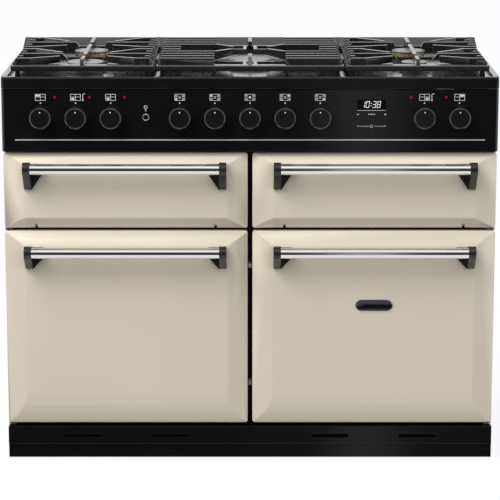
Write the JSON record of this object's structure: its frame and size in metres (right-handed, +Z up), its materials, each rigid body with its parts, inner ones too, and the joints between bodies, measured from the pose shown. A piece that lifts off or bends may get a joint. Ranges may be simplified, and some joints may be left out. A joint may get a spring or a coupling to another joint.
{
  "type": "range cooker",
  "caption": "Freestanding range cooker with side-hung oven doors, drop-down grill and small-oven doors, gas hob, cast pan supports, turning knobs and levelling feet",
  "frame": {"origin": "centre of the cooker's footprint, on the floor it stands on", "axes": "+X to the right along the front, +Y from the front towards the wall, +Z up"},
  "size_m": [1.1, 0.6485, 0.9115],
  "materials": {
    "cream_enamel": "gloss vitreous enamel, pillowed door fronts",
    "black_enamel": "gloss black enamel",
    "oven_enamel": "speckled dark vitreous enamel",
    "chrome": "bright polished plate",
    "cast_iron": "satin black cast surface",
    "satin_black": "satin black",
    "black_plastic": "satin black moulding",
    "display_glass": "dark gloss window",
    "zinc_steel": "zinc-plated sheet",
    "fan_steel": "heat-stained steel",
    "burner_aluminium": "cast, dull",
    "brass": "machined flame ring",
    "seal_rubber": "matt heat-proof seal",
    "switch_plastic": "pale moulding"
  },
  "bodies": {
    "casing": {"side_panels": "black_enamel", "back_panel": "zinc_steel", "base_frame": "zinc_steel", "front_frame": "black_enamel", "plinth": "black_enamel", "oven_liners": "oven_enamel", "top_liners": "oven_enamel", "oven_shelves": "chrome", "fan_housings": "fan_steel", "heating_elements": "fan_steel", "grill_pan": "oven_enamel", "door_seals": "seal_rubber", "door_fittings": "oven_enamel", "hob_top": "black_enamel", "burner_bases": "burner_aluminium", "burner_rings": "brass", "burner_caps": "oven_enamel", "control_panel": "black_enamel", "clock_display": "display_glass", "gas_pipes": "burner_aluminium", "oven_switches": "switch_plastic"},
    "left_oven_door_body": {"left_oven_door": "cream_enamel", "left_oven_door_inner": "oven_enamel", "left_oven_handle_bar": "chrome", "left_oven_handle_brackets": "satin_black"},
    "right_oven_door_body": {"right_oven_door": "cream_enamel", "right_oven_door_inner": "oven_enamel", "right_oven_handle_bar": "chrome", "right_oven_handle_brackets": "satin_black"},
    "grill_door_body": {"grill_door": "cream_enamel", "grill_door_inner": "oven_enamel", "grill_handle_bar": "chrome", "grill_handle_brackets": "satin_black"},
    "small_oven_door_body": {"small_oven_door": "cream_enamel", "small_oven_door_inner": "oven_enamel", "small_oven_handle_bar": "chrome", "small_oven_handle_brackets": "satin_black"},
    "grill_knob_body": {"grill_knob": "black_plastic"},
    "left_oven_heat_knob_body": {"left_oven_heat_knob": "black_plastic"},
    "left_oven_mode_knob_body": {"left_oven_mode_knob": "black_plastic"},
    "front_left_burner_knob_body": {"front_left_burner_knob": "black_plastic"},
    "rear_left_burner_knob_body": {"rear_left_burner_knob": "black_plastic"},
    "centre_burner_knob_body": {"centre_burner_knob": "black_plastic"},
    "rear_right_burner_knob_body": {"rear_right_burner_knob": "black_plastic"},
    "front_right_burner_knob_body": {"front_right_burner_knob": "black_plastic"},
    "right_oven_knob_body": {"right_oven_knob": "black_plastic"},
    "small_oven_knob_body": {"small_oven_knob": "black_plastic"},
    "oven_light_button_body": {"oven_light_button": "black_plastic"},
    "clock_minus_button_body": {"clock_minus_button": "black_plastic"},
    "clock_mode_button_body": {"clock_mode_button": "black_plastic"},
    "clock_plus_button_body": {"clock_plus_button": "black_plastic"},
    "left_pan_support_body": {"left_pan_support": "cast_iron"},
    "centre_pan_support_body": {"centre_pan_support": "cast_iron"},
    "right_pan_support_body": {"right_pan_support": "cast_iron"},
    "left_oven_fan_body": {"left_oven_fan": "fan_steel"},
    "right_oven_fan_body": {"right_oven_fan": "fan_steel"},
    "front_left_foot_body": {"front_left_foot": "zinc_steel"},
    "front_right_foot_body": {"front_right_foot": "zinc_steel"},
    "rear_left_foot_body": {"rear_left_foot": "zinc_steel"},
    "rear_right_foot_body": {"rear_right_foot": "zinc_steel"}
  },
  "joints": [
    {"name": "left_oven_door_hinge", "type": "hinge", "parent": "casing", "child": "left_oven_door_body", "pos_m": [-0.5395, -0.25375, 0.30675], "axis": [0, 0, -1], "range_deg": [0, 105]},
    {"name": "right_oven_door_hinge", "type": "hinge", "parent": "casing", "child": "right_oven_door_body", "pos_m": [0.5395, -0.25375, 0.30675], "axis": [0, 0, 1], "range_deg": [0, 105]},
    {"name": "grill_door_hinge", "type": "hinge", "parent": "casing", "child": "grill_door_body", "pos_m": [-0.2769, -0.25975, 0.5474], "axis": [1, 0, 0], "range_deg": [0, 90]},
    {"name": "small_oven_door_hinge", "type": "hinge", "parent": "casing", "child": "small_oven_door_body", "pos_m": [0.2769, -0.25975, 0.5474], "axis": [1, 0, 0], "range_deg": [0, 90]},
    {"name": "grill_knob_turn", "type": "hinge", "parent": "casing", "child": "grill_knob_body", "pos_m": [-0.4625, -0.27575, 0.7875], "axis": [0, 1, 0], "range_deg": [0, 270]},
    {"name": "left_oven_heat_knob_turn", "type": "hinge", "parent": "casing", "child": "left_oven_heat_knob_body", "pos_m": [-0.385, -0.27575, 0.7875], "axis": [0, 1, 0], "range_deg": [0, 270]},
    {"name": "left_oven_mode_knob_turn", "type": "hinge", "parent": "casing", "child": "left_oven_mode_knob_body", "pos_m": [-0.3075, -0.27575, 0.7875], "axis": [0, 1, 0], "range_deg": [0, 315]},
    {"name": "front_left_burner_knob_turn", "type": "hinge", "parent": "casing", "child": "front_left_burner_knob_body", "pos_m": [-0.155, -0.27575, 0.7875], "axis": [0, -1, 0], "range_deg": [0, 210]},
    {"name": "rear_left_burner_knob_turn", "type": "hinge", "parent": "casing", "child": "rear_left_burner_knob_body", "pos_m": [-0.0775, -0.27575, 0.7875], "axis": [0, -1, 0], "range_deg": [0, 210]},
    {"name": "centre_burner_knob_turn", "type": "hinge", "parent": "casing", "child": "centre_burner_knob_body", "pos_m": [0, -0.27575, 0.7875], "axis": [0, -1, 0], "range_deg": [0, 210]},
    {"name": "rear_right_burner_knob_turn", "type": "hinge", "parent": "casing", "child": "rear_right_burner_knob_body", "pos_m": [0.0775, -0.27575, 0.7875], "axis": [0, -1, 0], "range_deg": [0, 210]},
    {"name": "front_right_burner_knob_turn", "type": "hinge", "parent": "casing", "child": "front_right_burner_knob_body", "pos_m": [0.155, -0.27575, 0.7875], "axis": [0, -1, 0], "range_deg": [0, 210]},
    {"name": "right_oven_knob_turn", "type": "hinge", "parent": "casing", "child": "right_oven_knob_body", "pos_m": [0.385, -0.27575, 0.7875], "axis": [0, 1, 0], "range_deg": [0, 270]},
    {"name": "small_oven_knob_turn", "type": "hinge", "parent": "casing", "child": "small_oven_knob_body", "pos_m": [0.4625, -0.27575, 0.7875], "axis": [0, 1, 0], "range_deg": [0, 270]},
    {"name": "oven_light_button_press", "type": "slide", "parent": "casing", "child": "oven_light_button_body", "axis": [0, 1, 0], "range_m": [0, 0.0015], "stiffness_N_per_m": 400, "springref_m": -0.001},
    {"name": "clock_minus_button_press", "type": "slide", "parent": "casing", "child": "clock_minus_button_body", "axis": [0, 1, 0], "range_m": [0, 0.0015], "stiffness_N_per_m": 400, "springref_m": -0.001},
    {"name": "clock_mode_button_press", "type": "slide", "parent": "casing", "child": "clock_mode_button_body", "axis": [0, 1, 0], "range_m": [0, 0.0015], "stiffness_N_per_m": 400, "springref_m": -0.001},
    {"name": "clock_plus_button_press", "type": "slide", "parent": "casing", "child": "clock_plus_button_body", "axis": [0, 1, 0], "range_m": [0, 0.0015], "stiffness_N_per_m": 400, "springref_m": -0.001},
    {"name": "left_pan_support_lift", "type": "slide", "parent": "casing", "child": "left_pan_support_body", "axis": [0, 0, 1], "range_m": [0, 0.15]},
    {"name": "centre_pan_support_lift", "type": "slide", "parent": "casing", "child": "centre_pan_support_body", "axis": [0, 0, 1], "range_m": [0, 0.15]},
    {"name": "right_pan_support_lift", "type": "slide", "parent": "casing", "child": "right_pan_support_body", "axis": [0, 0, 1], "range_m": [0, 0.15]},
    {"name": "left_oven_fan_spin", "type": "hinge", "parent": "casing", "child": "left_oven_fan_body", "pos_m": [-0.2769, 0.17425, 0.2995], "axis": [0, 1, 0], "continuous": true},
    {"name": "right_oven_fan_spin", "type": "hinge", "parent": "casing", "child": "right_oven_fan_body", "pos_m": [0.2769, 0.17425, 0.2995], "axis": [0, 1, 0], "continuous": true},
    {"name": "front_left_foot_screw", "type": "slide", "parent": "casing", "child": "front_left_foot_body", "axis": [0, 0, -1], "range_m": [0, 0.025]},
    {"name": "front_right_foot_screw", "type": "slide", "parent": "casing", "child": "front_right_foot_body", "axis": [0, 0, -1], "range_m": [0, 0.025]},
    {"name": "rear_left_foot_screw", "type": "slide", "parent": "casing", "child": "rear_left_foot_body", "axis": [0, 0, -1], "range_m": [0, 0.025]},
    {"name": "rear_right_foot_screw", "type": "slide", "parent": "casing", "child": "rear_right_foot_body", "axis": [0, 0, -1], "range_m": [0, 0.025]}
  ]
}
